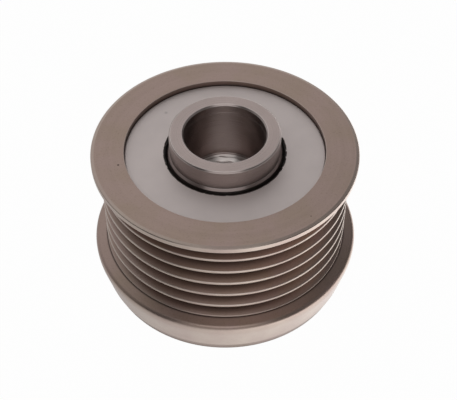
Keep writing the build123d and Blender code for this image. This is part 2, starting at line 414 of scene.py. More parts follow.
@dataclass(frozen=True)
class RingedSteel(Finish):
    """Steel that was cut while it turned: rings round the axis, in the gloss and as shallow ridges.

    The sizes are those of the rings that a turning tool leaves at its feed.
    """

    metallic: float = 1.0
    ring_width: float = 0.16
    sheen: tuple[float, float] = (0.05, 0.06)
    ridge_depth: float = 0.004
    ridge_strength: float = 0.35

    def add_rings(
        self, tree: bpy.types.NodeTree, shader: bpy.types.Node, place: bpy.types.NodeSocket
    ) -> None:
        """Adds the rings as a noise of the distance from the axis and the height alone.

        Args:
            tree: The material's node tree.
            shader: The shader whose roughness and normal vary.
            place: The object coordinates.
        """
        flat = add_node(tree, "ShaderNodeVectorMath", {0: place, 1: (1, 1, 0)}, operation="MULTIPLY")
        radius = add_node(tree, "ShaderNodeVectorMath", {0: flat.outputs[0]}, operation="LENGTH")
        height = add_node(tree, "ShaderNodeSeparateXYZ", {0: place})
        turned = add_node(tree, "ShaderNodeCombineXYZ", {
            "X": radius.outputs["Value"], "Y": height.outputs["Z"],
        })
        rings = add_node(tree, "ShaderNodeTexNoise", {
            "Vector": turned.outputs[0], "Scale": per_metre(self.ring_width), "Detail": 2.0, "Roughness": 0.7,
        })
        under, over = self.sheen
        gloss = add_node(tree, "ShaderNodeMapRange", {
            "Value": rings.outputs[0], "From Min": 0.3, "From Max": 0.7,
            "To Min": self.roughness - under, "To Max": self.roughness + over,
        })
        tree.links.new(gloss.outputs[0], shader.inputs["Roughness"])
        ridges = add_node(tree, "ShaderNodeBump", {
            "Strength": self.ridge_strength, "Distance": self.ridge_depth * MM, "Height": rings.outputs[0],
        })
        tree.links.new(ridges.outputs[0], shader.inputs["Normal"])


@dataclass(frozen=True)
class TurnedSteel(RingedSteel):
    """Turned steel with a thin brown-grey conversion coat: a satin sheen with faint rings of the tool."""

    drawn_out: float = 0.35
    cloud: float = 7.0
    grain: float = 0.35
    warm: str = "#9B8A78"
    # The pale colour: worn edges, and painted highlight on the crests, rims and bevels.
    pale: str = "#EADFD5"
    dark: str = "#7A6B61"
    # The hollow colour: painted shade in the groove roots, the land's inner corner and the rear recess.
    hollow: str = "#433A37"
    speck: str = "#2A2320"
    marks: tuple[tuple[float, float, float, float], ...] = ()

    def pattern(self, tree: bpy.types.NodeTree, shader: bpy.types.Node) -> None:
        """Adds clouds in the coat, a fine grain, pale edges that are partly wear and partly painted
        highlight, painted shade in the hollows, specks and the tool's rings.
        """
        place = add_node(tree, "ShaderNodeTexCoord").outputs["Object"]
        clouds = self.mottle(
            tree, shader, place, self.cloud, self.warm,
            strength=0.45, span=(0.38, 0.68), detail=3.0, roughness=0.55,
        )
        self.mottle(
            tree, shader, place, self.grain, self.dark,
            strength=0.35, span=(0.56, 0.74), detail=2.0, roughness=0.6,
        )
        # A tone over 0 mixes in the pale colour, partly wear and partly painted highlight; a tone under 0
        # mixes in the hollow colour, painted shade.
        tone = add_node(tree, "ShaderNodeAttribute", attribute_name="tone")
        for colour, factor in ((self.pale, clouds), (self.hollow, -1.0)):
            share = add_node(tree, "ShaderNodeMath", {
                0: tone.outputs["Fac"], 1: factor,
            }, operation="MULTIPLY", use_clamp=True)
            self.varied_colour(tree, shader, share.outputs[0], colour)
        self.add_spots(tree, shader, place, self.marks, self.speck, strength=0.85, core=0.5)
        self.add_rings(tree, shader, place)


@dataclass(frozen=True)
class GroundSteel(RingedSteel):
    """Hardened steel ground to size: cleaner and smoother than the sleeve, with very fine rings.

    The rings are drawn about three times as wide as the real ones, so that they show.
    """

    drawn_out: float = 0.8
    ring_width: float = 0.07
    sheen: tuple[float, float] = (0.04, 0.05)
    ridge_depth: float = 0.002
    ridge_strength: float = 0.12
    cloud: float = 5.0
    dark: str = "#9A8E89"
    # The bright colour: fresh-cut metal and a painted highlight, mixed in by the tone.
    bright: str = "#F6F0EC"

    def pattern(self, tree: bpy.types.NodeTree, shader: bpy.types.Node) -> None:
        """Adds faint clouds of oil, pale edges, shoulder and thread that are partly fresh-cut metal and
        partly a painted highlight, and the fine rings of the wheel.
        """
        place = add_node(tree, "ShaderNodeTexCoord").outputs["Object"]
        self.mottle(
            tree, shader, place, self.cloud, self.dark,
            strength=0.4, span=(0.4, 0.75), detail=4.0, roughness=0.6,
        )
        tone = add_node(tree, "ShaderNodeAttribute", attribute_name="tone")
        self.varied_colour(tree, shader, tone.outputs["Fac"], self.bright)
        self.add_rings(tree, shader, place)


@dataclass(frozen=True)
class CoatedSheet(Finish):
    """Pressed sheet steel under a matt zinc coat: grey, nearly without reflections, faintly rubbed.

    The crystals of the coat are drawn coarser than the real ones, so that they show.
    """

    metallic: float = 0.7
    cloud: float = 6.0
    grain: float = 0.25
    grain_depth: float = 0.006
    rag: float = 0.8
    rubbed: str = "#DACFCC"
    rubber: str = "#463C38"
    rubber_edge: tuple[float, float] = (1.3, 1.4)
    smudge: str = "#6A605C"
    smudges: tuple[tuple[float, float, float, float], ...] = ()

    def pattern(self, tree: bpy.types.NodeTree, shader: bpy.types.Node) -> None:
        """Adds soft clouds, smudges of handling, a ragged smear of rubber and the coat's crystals.

        The smear shows where the depth of the hollow at the hole, the tone times minus one, and a
        noise together pass the edge's values, so its border is ragged.
        """
        place = add_node(tree, "ShaderNodeTexCoord").outputs["Object"]
        self.mottle(
            tree, shader, place, self.cloud, self.rubbed,
            strength=0.4, span=(0.4, 0.7), detail=3.0, roughness=0.5,
        )
        self.add_spots(tree, shader, place, self.smudges, self.smudge, strength=0.35, core=0.0)
        rag = add_node(tree, "ShaderNodeTexNoise", {
            "Vector": place, "Scale": per_metre(self.rag), "Detail": 2.0, "Roughness": 0.6,
        })
        tone = add_node(tree, "ShaderNodeAttribute", attribute_name="tone")
        reach = add_node(tree, "ShaderNodeMath", {
            0: tone.outputs["Fac"], 1: -1.0, 2: rag.outputs[0],
        }, operation="MULTIPLY_ADD")
        start, full = self.rubber_edge
        smear = add_node(tree, "ShaderNodeMapRange", {
            "Value": reach.outputs[0], "From Min": start, "From Max": full,
        })
        self.varied_colour(tree, shader, smear.outputs[0], self.rubber)
        grain = add_node(tree, "ShaderNodeTexNoise", {
            "Vector": place, "Scale": per_metre(self.grain), "Detail": 3.0, "Roughness": 0.6,
        })
        crystals = add_node(tree, "ShaderNodeBump", {
            "Strength": 0.3, "Distance": self.grain_depth * MM, "Height": grain.outputs[0],
        })
        tree.links.new(crystals.outputs[0], shader.inputs["Normal"])


@dataclass(frozen=True)
class GrainyPolymer(Finish):
    """A dark rubber or filled nylon: an uneven skin that takes a dull highlight."""

    grain: float = 0.4
    bloom: str = "#3A3836"
    depth: float = 0.02

    def pattern(self, tree: bpy.types.NodeTree, shader: bpy.types.Node) -> None:
        """Adds a grey bloom and the fine unevenness of the moulded skin."""
        place = add_node(tree, "ShaderNodeTexCoord").outputs["Object"]
        grain = self.mottle(
            tree, shader, place, self.grain, self.bloom,
            strength=0.6, span=(0.5, 0.8), detail=3.0, roughness=0.6,
        )
        skin = add_node(tree, "ShaderNodeBump", {
            "Strength": 0.5, "Distance": self.depth * MM, "Height": grain,
        })
        tree.links.new(skin.outputs[0], shader.inputs["Normal"])


# The sub-assemblies


@dataclass
class PulleySleeve:
    """The turned outer body with its six belt grooves, its flanges, its recesses and its bore."""

    finish: Finish
    rib_pitch: float = 3.56
    groove_count: int = 6
    groove_angle: float = 40.0
    crest_flat: float = 0.49
    root_flat: float = 0.63
    crest_fillet: float = 0.2
    root_fillet: float = 0.3
    root_r: float = 22.6
    crest_r: float = 25.952
    front_flange_r: float = 28.582
    rear_flange_r: float = 27.642
    land_height: float = 10.2
    land_slope: float = 15.0
    line_width: float = 0.4
    band_width: float = 1.5
    band_fillet: float = 5.0
    band_edge: float = 1.0
    skirt_angle: float = 13.81
    rim_height: float = 2.2
    rim_angle: float = 20.1
    rear_width: float = 1.98
    rear_chamfer: float = 0.15
    rear_fillet: float = 0.05
    rear_bevel: tuple[float, float] = (0.54, 0.11)
    rear_lower_chamfer: float = 0.7
    bore_r: float = 19.0
    bore_chamfer: float = 0.3
    seal_seat_r: float = 20.8
    rear_seat_depth: float = 2.1
    front_seat: tuple[float, float] = (3.4, 4.9)
    lip_r: float = 18.2
    lip_top: float = 5.6
    cap_seat_r: float = 21.6
    cap_groove_r: float = 22.0
    cap_groove: tuple[float, float] = (1.8, 2.6)
    mouth_chamfer: float = 0.5
    broken_edge: float = 0.08
    # The skirt ends this far below the land. Its tone and the rear rim's stand for bared metal and a painted
    # highlight; the rear bevel's tone is a painted highlight alone.
    bare_and_highlit_below: float = 1.1
    bare_and_highlight_tone: float = 0.5
    bevel_highlight_tone: float = 0.4
    columns: int = 288

    def groove_half(self, radius: float) -> float:
        """Half the width of a groove at a radius, on its straight flanks."""
        flank = math.tan(math.radians(self.groove_angle / 2))
        return (self.rib_pitch - self.crest_flat) / 2 - (self.crest_r - radius) * flank

    def front_corners(self) -> list[tuple[float, ...]]:
        """Corners of the skirt and the front flange, from the mouth to the first groove."""
        slope = math.tan(math.radians(self.land_slope))
        land_edge = self.land_height - (self.front_flange_r - self.crest_r) * slope
        band_foot = land_edge - self.band_width
        skirt_height = band_foot - self.rim_height
        bevel_r = self.front_flange_r - skirt_height * math.tan(math.radians(self.skirt_angle))
        rim_r = bevel_r - self.rim_height * math.tan(math.radians(self.rim_angle))
        return [
            # Tones over 0 are worn edges with a painted highlight; the -1 of the last corner is painted shade
            # where the land meets the first groove.
            (self.cap_seat_r + self.mouth_chamfer, 0, self.broken_edge, 0.5),
            (rim_r, 0, self.broken_edge * 2, 0.6),
            (bevel_r, self.rim_height, self.broken_edge * 2, 0.5),
            (self.front_flange_r, band_foot, self.band_fillet, 0),
            (self.front_flange_r, land_edge, self.band_edge, 0),
            (self.crest_r + self.line_width, self.land_height - self.line_width * slope, 0, 0),
            (self.crest_r, self.land_height, 0, -1),
        ]

    def groove_corners(self) -> list[tuple[float, ...]]:
        """Corners of the six grooves, with a rounded crest between each two."""
        corners = []
        crest = self.groove_half(self.crest_r)
        root = self.root_flat / 2
        for index in range(self.groove_count):
            middle = self.land_height + (index + 0.5) * self.rib_pitch
            corners += [
                # Crests get a pale tone of wear and painted highlight; the roots get -1, painted shade.
                (self.crest_r, middle - crest, self.crest_fillet, 1 if index else 0.3),
                (self.root_r, middle - root, self.root_fillet, -1),
                (self.root_r, middle + root, self.root_fillet, -1),
            ]
            if index < self.groove_count - 1:
                corners.append((self.crest_r, middle + crest, self.crest_fillet, 1))
        return corners

    def rear_corners(self) -> list[tuple[float, ...]]:
        """Corners of the rear flange and the recess that holds the rear seal plate."""
        top = self.land_height + self.groove_count * self.rib_pitch + self.rear_width
        last_middle = top - self.rear_width - self.rib_pitch / 2
        flank_r = self.rear_flange_r - self.rear_lower_chamfer
        foot = last_middle + self.groove_half(flank_r)
        seat = top - self.rear_seat_depth
        bevel_width, bevel_height = self.rear_bevel
        edge_r = self.rear_flange_r - self.rear_chamfer
        edge_top = top - bevel_height
        return [
            # Tones over 0 on the flange and the recess's mouth are wear with a painted highlight; those under
            # 0 down the recess wall are painted shade.
            (flank_r, foot, self.broken_edge, 0.6),
            (self.rear_flange_r, foot + self.rear_lower_chamfer, self.broken_edge, 1),
            (self.rear_flange_r, edge_top - self.rear_chamfer, self.rear_fillet, 1),
            (edge_r, edge_top, self.rear_fillet, 0.6),
            (edge_r - bevel_width, top, self.broken_edge, 0.3),
            (edge_r - bevel_width - self.line_width, top, 0, 0),
            (self.seal_seat_r, top, self.broken_edge, 0.8),
            (self.seal_seat_r, top - 2 * self.broken_edge, 0, -0.2),
            (self.seal_seat_r, seat, 0, -1),
            (self.bore_r + self.bore_chamfer, seat, 0, 0),
            (self.bore_r, seat - self.bore_chamfer, 0, 0),
        ]

    def inner_corners(self) -> list[tuple[float, ...]]:
        """Corners of the bore, the front lip, the seal seat and the seat of the dust cap."""
        seat_bottom, seat_top = self.front_seat
        groove_bottom, groove_top = self.cap_groove
        return [
            (self.bore_r, self.lip_top, 0, 0),
            (self.lip_r, self.lip_top, 0, 0),
            (self.lip_r, seat_top, 0, 0),
            (self.seal_seat_r, seat_top, 0, 0),
            (self.seal_seat_r, seat_bottom, 0, 0),
            (self.cap_seat_r, seat_bottom, 0, 0),
            (self.cap_seat_r, groove_top, 0, 0),
            (self.cap_groove_r, groove_top, 0, 0),
            (self.cap_groove_r, groove_bottom, 0, 0),
            (self.cap_seat_r, groove_bottom, 0, 0),
            (self.cap_seat_r, self.mouth_chamfer, 0, 0),
        ]

    def bared_and_highlit(self, rows: np.ndarray) -> np.ndarray:
        """Raises the tone on the skirt and the rear rim, for bared metal and a painted highlight, and,
        less, on the rear bevel, for a painted highlight alone.

        Args:
            rows: Rows of radius, height and tone along the outline.

        Returns:
            The tone of each row.
        """
        radius, height, tone = rows.T
        below_land = self.land_height - self.bare_and_highlit_below
        skirt = (radius > self.crest_r) & (height > self.rim_height) & (height < below_land)
        rim = (radius > self.rear_flange_r - self.broken_edge) & (height > self.land_height)
        bevel_width, bevel_height = self.rear_bevel
        bevel = radius > self.rear_flange_r - self.rear_chamfer - bevel_width
        bevel &= height > height.max() - bevel_height - self.broken_edge
        # The skirt and rear rim get the pale of bared metal and a painted highlight; the rear bevel gets a
        # painted highlight alone.
        thin = np.select([skirt | rim, bevel], [self.bare_and_highlight_tone, self.bevel_highlight_tone], 0.0)
        return np.maximum(tone, thin)

    def build(self) -> None:
        """Turns the closed outline about Z and dresses it."""
        corners = self.front_corners() + self.groove_corners() + self.rear_corners() + self.inner_corners()
        rows = rounded_profile(corners, closed=True)
        angle = np.arange(self.columns) * TURN / self.columns
        points = turned_surface(rows[:, 0], rows[:, 1], angle)
        tones = np.repeat(np.where(rows[:, 2] < 0, rows[:, 2], self.bared_and_highlit(rows)), self.columns)
        piece = Piece("sleeve_body", Body.PULLEY, Slot.SLEEVE, "pulley_sleeve", self.finish.material())
        piece.make(points, grid_faces(len(rows), self.columns, wrap_rows=True), tones)


@dataclass
class Hub:
    """The hub: collar, press seat, head, shaft bore, cut thread and splined tool socket."""

    finish: Finish
    bottom: float = 1.4
    top: float = 37.55
    seat_r: float = 11.8
    seat_top: float = 32.5
    collar_r: float = 11.47
    collar_foot: float = 33.04
    collar_chamfer: float = 0.28
    head_r: float = 12.9
    head_top: float = 6.6
    head_chamfer: float = 0.3
    bore_r: float = 8.5
    bore_chamfer: float = 0.3
    tool_line: tuple[float, float] = (35.45, 0.03)
    thread_top: float = 23.6
    thread_bottom: float = 11.6
    thread_crest_r: float = 7.19
    thread_root_r: float = 8.0
    thread_lead_r: float = 8.05
    thread_pitch: float = 1.5
    thread_angle: float = 60.0
    thread_start: float = 21.825
    thread_rows: int = 129
    # The thread's tone: fresh-cut metal and a painted highlight.
    thread_tone: float = 0.5
    shoulder_chamfer: float = 0.1
    shoulder_inset: float = 0.02
    relief_r: float = 8.65
    spline_top: float = 10.8
    spline_teeth: int = 33
    spline_root_r: float = 8.5
    spline_crest_r: float = 7.9
    spline_root_share: float = 0.30
    spline_crest_share: float = 0.22
    mouth_r: float = 9.1
    broken_edge: float = 0.06
    spline_rows: int = 8

    def angles(self) -> np.ndarray:
        """Angles of the columns: nine for each tooth, on and between the corners of its flanks."""
        root, crest = self.spline_root_share / 2, 0.5 - self.spline_crest_share / 2
        middle = (root + crest) / 2
        offsets = np.array([-0.5, -crest, -middle, -root, -root / 3, root / 3, root, middle, crest])
        return ((np.arange(self.spline_teeth)[:, None] + offsets) * TURN / self.spline_teeth).ravel()

    def spline_radius(self, angle: np.ndarray, height: np.ndarray) -> np.ndarray:
        """Radius in the tool socket.

        Round the bore the radius goes from root to crest in straight flanks, once for each tooth,
        and near the mouth it is at least that of a 45 degree cone.

        Args:
            angle: Angles of the columns.
            height: Heights of the rows.

        Returns:
            Radius for each row and column.
        """
        place = angle * self.spline_teeth / TURN
        offset = np.abs(place - np.round(place))
        root, crest = self.spline_root_share / 2, 0.5 - self.spline_crest_share / 2
        share = np.clip((offset - root) / (crest - root), 0, 1)
        tooth = self.spline_root_r + (self.spline_crest_r - self.spline_root_r) * share
        cone = self.mouth_r - (height - self.bottom)
        return np.maximum(tooth[None, :], cone[:, None])

    def thread_radius(self, angle: np.ndarray, height: np.ndarray) -> np.ndarray:
        """Radius in the thread.

        A right-hand helix: the height minus the pitch times the share of a turn gives the place
        across a ridge, whose crest is a quarter of the pitch wide and whose flanks stand 60 degrees
        apart. At both ends a 45 degree cone leads in.

        Args:
            angle: Angles of the columns.
            height: Heights of the rows.

        Returns:
            Radius for each row and column.
        """
        turn = (height[:, None] - self.thread_start) / self.thread_pitch - angle[None, :] / TURN
        across = np.abs(turn - np.round(turn)) * self.thread_pitch
        depth = self.thread_root_r - self.thread_crest_r
        run = depth * math.tan(math.radians(self.thread_angle / 2))
        ridge = self.thread_crest_r + depth * np.clip((across - self.thread_pitch / 8) / run, 0, 1)
        end = np.minimum(self.thread_top - height, height - self.thread_bottom)
        return np.maximum(ridge, (self.thread_lead_r - end)[:, None])

    def outer_rows(self) -> np.ndarray:
        """Rows of radius, height and tone from the edge of the socket's mouth round to the shoulder."""
        line_height, line_depth = self.tool_line
        edge = self.broken_edge
        corners = [
            (self.mouth_r, self.bottom, 0, 0),
            (self.head_r - self.head_chamfer, self.bottom, edge, 0),
            (self.head_r, self.bottom + self.head_chamfer, edge, 0),
            (self.head_r, self.head_top, edge, 0),
            (self.seat_r, self.head_top, 0, 0),
            (self.seat_r, self.seat_top, edge, 0),
            # Tones over 0 on the collar's edges, the bore's chamfer and the shoulder: fresh-cut metal and a
            # painted highlight.
            (self.collar_r, self.collar_foot, edge, 0.6),
            (self.collar_r, self.top - self.collar_chamfer, edge, 0.6),
            (self.collar_r - self.collar_chamfer, self.top, edge, 0.6),
            (self.bore_r + self.bore_chamfer, self.top, edge, 0.6),
            (self.bore_r, self.top - self.bore_chamfer, edge, 0.8),
            (self.bore_r, line_height + line_depth, 0, 0),
            (self.bore_r + line_depth, line_height, 0, 0),
            (self.bore_r, line_height - line_depth, 0, 0),
            (self.bore_r, self.thread_top + self.shoulder_chamfer, edge, 0.6),
            (self.bore_r - self.shoulder_chamfer, self.thread_top, edge, 0),
            (self.thread_lead_r + self.shoulder_inset, self.thread_top, 0, 0),
        ]
        return rounded_profile(corners, closed=False)

    def build(self) -> None:
        """Joins the turned rows, the helical rows and the toothed rows into one closed surface."""
        angle = self.angles()
        outer = self.outer_rows()[1:]
        thread = np.linspace(self.thread_top, self.thread_bottom, self.thread_rows)
        relief = np.array([[self.relief_r, self.thread_bottom], [self.relief_r, self.spline_top]])
        cone_height = self.mouth_r - self.spline_crest_r
        cone = np.linspace(self.bottom + cone_height, self.bottom, self.spline_rows)
        socket = np.append(self.spline_top, cone)
        wide = np.ones((1, len(angle)))
        radius = np.concatenate([
            outer[:, :1] * wide,
            self.thread_radius(angle, thread),
            relief[:, :1] * wide,
            self.spline_radius(angle, socket),
        ])
        height = np.concatenate([outer[:, 1], thread, relief[:, 1], socket])
        points = turned_surface(radius, height, angle)
        plain = np.zeros(len(relief) + len(socket))
        tone = np.concatenate([outer[:, 2], np.full(len(thread), self.thread_tone), plain])
        piece = Piece("hub_body", Body.HUB, Slot.HUB, "hub", self.finish.material())
        piece.make(points, grid_faces(len(height), len(angle), wrap_rows=True), np.repeat(tone, len(angle)))


@dataclass
class SealPlate:
    """A pressed seal plate with rounded edges and the rubber lip that is bonded to it."""

    side: Side
    finish: Finish
    rubber: Finish
    hole_r: float
    bottom: float
    shaft_r: float
    outer_r: float = 20.78
    thickness: float = 0.9
    outer_fillet: float = 0.3
    sheared_fillet: float = 0.05
    hole_fillet: float = 0.12
    bond_width: float = 1.5
    lip_height: float = 0.9
    lip_thickness: float = 0.45
    running_gap: float = 0.08
    smear: float = 0.38
    flash: float = 0.16
    flash_share: float = 0.8
    flash_waver: float = 0.065
    flash_waves: tuple[int, int, int] = (5, 45, 2)
    flash_seed: int = 7
    tip_share: float = 0.4
    columns: int = 240

    @property
    def inward(self) -> int:
        """Which way the lip hangs: down under the rear plate, up over the front one."""
        return -1 if self.side is Side.REAR else 1

    def build(self) -> None:
        """Builds the plate and its lip."""
        angle = np.arange(self.columns) * TURN / self.columns
        self.build_plate(angle)
        self.build_lip(angle)

    def build_plate(self, angle: np.ndarray) -> None:
        """Turns the outline of the plate about Z.

        Args:
            angle: Angles of the columns.
        """
        top = self.bottom + self.thickness
        upper, lower = self.outer_fillet, self.sheared_fillet
        if self.side is Side.FRONT:
            upper, lower = lower, upper
        corners = [
            (self.hole_r, self.bottom, self.hole_fillet, 0),
            (self.outer_r, self.bottom, lower, 0),
            (self.outer_r, top, upper, 0),
            (self.hole_r + self.smear, top, 0, 0),
            (self.hole_r, top, self.hole_fillet, -1),
        ]
        rows = rounded_profile(corners, closed=True)
        points = turned_surface(rows[:, 0], rows[:, 1], angle)
        name = self.side.value
        piece = Piece(f"{name}_plate", Body.PULLEY, Slot.PLATE, f"{name}_seal_plate", self.finish.material())
        tones = np.repeat(rows[:, 2], len(angle))
        piece.make(points, grid_faces(len(rows), len(angle), wrap_rows=True), tones)

    def build_lip(self, angle: np.ndarray) -> None:
        """Turns the outline of the lip about Z, with an uneven flash of rubber in the plate's hole.

        The lip lies under the plate, fills the edge of its hole and bends towards the shaft. Where it
        shows in the hole its radius wavers by a sum of waves with fixed random phases.

        Args:
            angle: Angles of the columns.
        """
        foot = self.bottom if self.inward < 0 else self.bottom + self.thickness
        shown = foot - self.inward * self.thickness * self.flash_share
        knee = foot + self.inward * self.lip_thickness
        tip = foot + self.inward * self.lip_height
        inner_r = self.shaft_r + self.running_gap
        cover_r = self.hole_r - self.flash
        corners = [
            (self.hole_r, foot, 0, 0),
            (self.hole_r + self.bond_width, foot, 0.05, 0),
            (self.hole_r + self.bond_width, knee, 0.15, 0),
            (self.hole_r + self.lip_thickness, knee, 0.2, 0),
            (inner_r + self.lip_thickness, tip, 0.1, 0),
            (inner_r, tip - self.inward * self.lip_thickness * self.tip_share, 0.04, 0),
            (cover_r, foot, 0.12, 0),
            (cover_r, shown, 0.06, 1),
            (self.hole_r, shown, 0, 1),
        ]
        rows = rounded_profile(corners, closed=True)
        wave = np.random.default_rng(self.flash_seed)
        count = np.arange(*self.flash_waves)
        phase = wave.uniform(0, TURN, len(count))
        uneven = np.cos(count[:, None] * angle + phase[:, None]).sum(axis=0) / math.sqrt(len(count))
        moved = rows[:, 2] * (rows[:, 0] < self.hole_r - SAME_PLACE)
        radius = rows[:, :1] - moved[:, None] * self.flash_waver * uneven[None, :]
        points = turned_surface(radius, rows[:, 1], angle)
        name = self.side.value
        piece = Piece(f"{name}_lip", Body.PULLEY, Slot.SEAL, f"{name}_seal_lip", self.rubber.material())
        piece.make(points, grid_faces(len(rows), len(angle), wrap_rows=True))


@dataclass
class SupportBearing:
    """One row of caged rollers; its pieces keep the solids of the frame and get their finishes."""

    side: Side
    steel: bpy.types.Material
    nylon: bpy.types.Material
    roller_count: int = 12

    def build(self) -> None:
        """Gives every ring and roller the steel and the cage the nylon."""
        name = self.side.value
        rollers = [f"{name}_bearing_roller_{k:02d}" for k in range(1, self.roller_count + 1)]
        dress([f"{name}_bearing_inner_ring", f"{name}_bearing_outer_ring", *rollers], self.steel)
        dress([f"{name}_bearing_cage"], self.nylon)


@dataclass
class OneWayClutch:
    """The clutch: its solids get their finishes, and its leaf springs are made as folded strip."""

    steel: bpy.types.Material
    nylon: bpy.types.Material
    spring: bpy.types.Material
    count: int = 8
    strip_thickness: float = 0.15
    fold_count: int = 4
    orbit_r: float = 15.785
    kept_share: float = 0.70
    path_points: int = 97

    def build(self) -> None:
        """Dresses the solids and builds the springs."""
        rollers = [f"clutch_roller_{k}" for k in range(1, self.count + 1)]
        dress(["clutch_cam", "clutch_outer_race", *rollers], self.steel)
        dress(["clutch_cage"], self.nylon)
        space = np.array([list(corner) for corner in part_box("clutch_spring_1")]) / MM
        for index in range(self.count):
            self.build_spring(index, space)

    def build_spring(self, index: int, space: np.ndarray) -> None:
        """Builds one spring as a flat strip bent into waves.

        Along the strip its middle goes from the end of the pocket to the roller while it swings
        across the gap as a cosine, once for each two folds; the strip is that line set off to both
        sides by half its thickness, and carried along the height of the pocket.

        Args:
            index: Number of the spring, from 0, counted from the one on +X.
            space: Lowest and highest corner of the space that the spring on +X has, in millimetres.
        """
        half = self.strip_thickness / 2
        (low, start, bottom), (high, end, top) = space
        share = np.linspace(0, 1, self.path_points)
        swing = math.pi * self.fold_count
        reach = (high - low) / 2 - half
        across = (low + high) / 2 + reach * np.cos(swing * share)
        along = start + half + (end - start - 2 * half) * share
        slope = np.stack([-reach * swing * np.sin(swing * share), np.full_like(share, end - start)], axis=-1)
        slope /= np.linalg.norm(slope, axis=1, keepdims=True)
        side = np.stack([slope[:, 1], -slope[:, 0]], axis=-1) * half
        line = np.stack([across, along], axis=-1)
        loop = np.concatenate([line + side, (line - side)[::-1]])
        turn = index * TURN / self.count
        level = np.array([bottom, top])
        x = loop[:, 0] * math.cos(turn) - loop[:, 1] * math.sin(turn)
        y = loop[:, 0] * math.sin(turn) + loop[:, 1] * math.cos(turn)
        points = np.stack([
            np.broadcast_to(x, (2, len(x))), np.broadcast_to(y, (2, len(y))),
            np.broadcast_to(level[:, None], (2, len(x))),
        ], axis=-1) * MM
        size = len(loop)
        walls = grid_faces(2, size, wrap_rows=False)
        step = np.arange(self.path_points - 1)
        lower = np.stack([step, step + 1, size - 2 - step, size - 1 - step], axis=-1)
        faces = np.concatenate([walls, lower[:, ::-1], lower + size])
        name = f"clutch_leaf_spring_{index + 1}"
        piece = Piece(name, Body.HUB, Slot.SPRING, f"clutch_spring_{index + 1}", self.spring)
        strip = piece.make(points, faces)
        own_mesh(strip)


def dress(nodes: list[str], material: bpy.types.Material) -> None:
    """Puts a material on solids of the frame that stay as they are.

    Args:
        nodes: Names of the nodes.
        material: The finish they get.
    """
    for node in nodes:
        mesh = bpy.data.objects[node].data
        mesh.materials.clear()
        mesh.materials.append(material)
    log.info("%s on %d solids", material.name, len(nodes))


# The studio


@dataclass(frozen=True)
class Softbox:
    """An area lamp that points at the middle of the object, wide and high in millimetres."""

    name: str
    place: tuple[float, float, float]
    width: float
    height: float
    watts: float

    def build(self, aim: np.ndarray) -> None:
        """Makes the lamp.

        Args:
            aim: The point that it faces, in millimetres.
        """
        lamp = bpy.data.lights.new(self.name, "AREA")
        lamp.shape = "RECTANGLE"
        lamp.size = self.width * MM
        lamp.size_y = self.height * MM
        lamp.energy = self.watts
        light = add_object(self.name, lamp)
        light.location = [v * MM for v in self.place]
        light.rotation_euler = aim_rotation(np.array(self.place), aim)


def aim_rotation(place: np.ndarray, aim: np.ndarray) -> tuple[float, float, float]:
    """Turn of a lamp or camera that looks from a place to a point, level across: pitch, roll and heading."""
    x, y, z = aim - place
    return math.atan2(math.hypot(x, y), -z), 0.0, math.atan2(-x, y)


